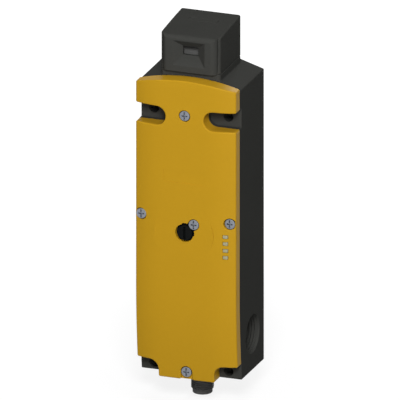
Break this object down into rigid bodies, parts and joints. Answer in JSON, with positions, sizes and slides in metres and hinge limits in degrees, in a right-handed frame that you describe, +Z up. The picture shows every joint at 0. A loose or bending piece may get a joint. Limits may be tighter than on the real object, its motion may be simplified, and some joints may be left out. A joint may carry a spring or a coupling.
{
  "type": "tongue interlock switch",
  "caption": "Slim tongue-operated guard interlock switch with solenoid locking, yellow barrel-curved front cover, black turnable actuator head and a round plug below.",
  "frame": {"origin": "centre of the four mounting holes on the enclosure's back face", "axes": "X to the right seen from the front, Y back into the mounting wall, Z up towards the actuator head"},
  "size_m": [0.054, 0.044, 0.2004],
  "materials": {
    "black_plastic": "fine spark-eroded grain",
    "yellow_plastic": "fine grain",
    "seal_rubber": "matt",
    "zinc_screw": "zinc plated",
    "light_pipe": "milky clear",
    "board_green": "solder mask",
    "lamp_white": "clear epoxy",
    "chip_black": "moulded epoxy",
    "plug_black": "plain",
    "nut_steel": "machined",
    "insert_black": "plain",
    "pin_brass": "gold flashed",
    "bush_plastic": "plain",
    "spring_steel": "drawn wire",
    "wheel_metal": "sintered",
    "plunger_plastic": "plain",
    "contact_plastic": "plain",
    "contact_silver": "silver plated",
    "coil_copper": "enamelled copper wire",
    "dial_black": "plain"
  },
  "bodies": {
    "root": {"enclosure_base": "black_plastic", "front_cover": "yellow_plastic", "cover_gasket": "seal_rubber", "cover_screws": "zinc_screw", "seal_screw": "zinc_screw", "led_light_pipes": "light_pipe", "circuit_board": "board_green", "board_screws": "zinc_screw", "board_lamps": "lamp_white", "board_modules": "chip_black", "plug_shell": "plug_black", "plug_seal": "seal_rubber", "plug_nut": "nut_steel", "plug_insert": "insert_black", "plug_pins": "pin_brass", "head_clip": "spring_steel", "contact_block": "contact_plastic", "fixed_contacts": "contact_silver", "terminal_screws": "zinc_screw", "solenoid_yoke": "nut_steel", "solenoid_bobbin": "bush_plastic", "solenoid_coil": "coil_copper", "bolt_guide": "bush_plastic", "monitor_contacts": "contact_silver", "monitor_block": "contact_plastic", "plunger_spring": "spring_steel", "armature_spring": "spring_steel"},
    "head": {"head_housing": "black_plastic", "head_face": "black_plastic", "top_slot_plug": "black_plastic", "plunger_bush": "bush_plastic", "neck_seal": "seal_rubber", "wheel_axle": "nut_steel"},
    "wheel": {"cam_wheel": "wheel_metal"},
    "plunger": {"plunger": "plunger_plastic", "contact_bridges": "contact_silver"},
    "armature": {"armature": "nut_steel", "release_arm": "spring_steel", "monitor_bridge": "contact_silver", "bolt_spring": "spring_steel"},
    "bolt": {"lock_bolt": "nut_steel"},
    "dial": {"release_dial": "dial_black", "release_cam": "bush_plastic", "dial_seal": "seal_rubber", "dial_clip": "spring_steel"}
  },
  "joints": [
    {"name": "head_turn", "type": "hinge", "parent": "root", "child": "head", "pos_m": [0, -0.01953, 0.0909], "axis": [0, 0, 1], "range_deg": [-180, 180]},
    {"name": "wheel_turn", "type": "hinge", "parent": "head", "child": "wheel", "pos_m": [0, -0.0213, 0.0962], "axis": [-1, 0, 0], "range_deg": [0, 60]},
    {"name": "plunger_slide", "type": "slide", "parent": "root", "child": "plunger", "axis": [0, 0, 1], "range_m": [0, 0.005], "deforming": ["plunger_spring"]},
    {"name": "release_turn", "type": "hinge", "parent": "root", "child": "dial", "pos_m": [0, -0.0355, 0.007], "axis": [0, 1, 0], "range_deg": [0, 90]},
    {"name": "armature_slide", "type": "slide", "parent": "root", "child": "armature", "axis": [1, 0, 0], "range_m": [-0.0045, 0], "deforming": ["armature_spring"]},
    {"name": "bolt_slide", "type": "slide", "parent": "armature", "child": "bolt", "axis": [1, 0, 0], "range_m": [0, 0.004], "deforming": ["bolt_spring"]}
  ],
  "couplings": [
    {"joint": "plunger_slide", "follows": "wheel_turn", "m_per_rad": 0.0047747},
    {"joint": "bolt_slide", "follows": "wheel_turn", "m_per_rad": 0.0038197},
    {"joint": "release_turn", "follows": "armature_slide", "rad_per_m": -349.06}
  ]
}
